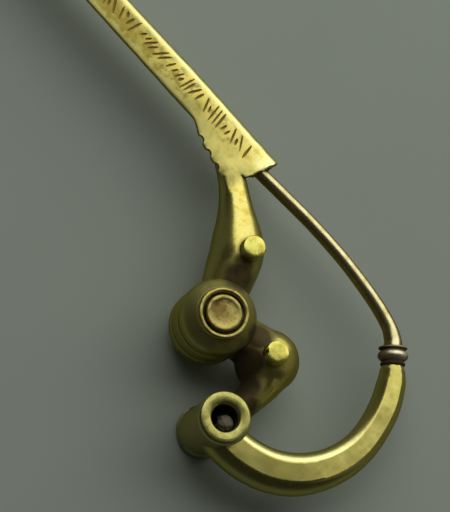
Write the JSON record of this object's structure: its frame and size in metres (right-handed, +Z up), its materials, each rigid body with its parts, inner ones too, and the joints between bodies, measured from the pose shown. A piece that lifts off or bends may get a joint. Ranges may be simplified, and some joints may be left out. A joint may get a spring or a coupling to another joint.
{
  "type": "fibula brooch",
  "caption": "Gold serpentine dress pin: bow with cross pins, spool and cross tube, springy arm, turned collar, and a long folded catch for the needle.",
  "frame": {"origin": "under the middle of the brooch's length and width, on the surface that it lies on", "axes": "+X along the catch plate towards its tip, +Y from the needle towards the crest of the bow, +Z up along the cross pins"},
  "size_m": [0.107, 0.0334, 0.0114],
  "materials": {
    "gold": "satin worn gold with dark soil in the low places",
    "worn_gold": "gold rubbed bright on the end faces",
    "brown_gold": "browned gold, polished along its outer side"
  },
  "bodies": {
    "root": {"bow_with_catch": "gold", "upper_cross_pin": "worn_gold", "lower_cross_pin": "worn_gold", "spool_pin": "gold", "cross_tube": "worn_gold", "pin_arm": "gold", "collar": "brown_gold", "needle": "brown_gold"}
  },
  "joints": []
}
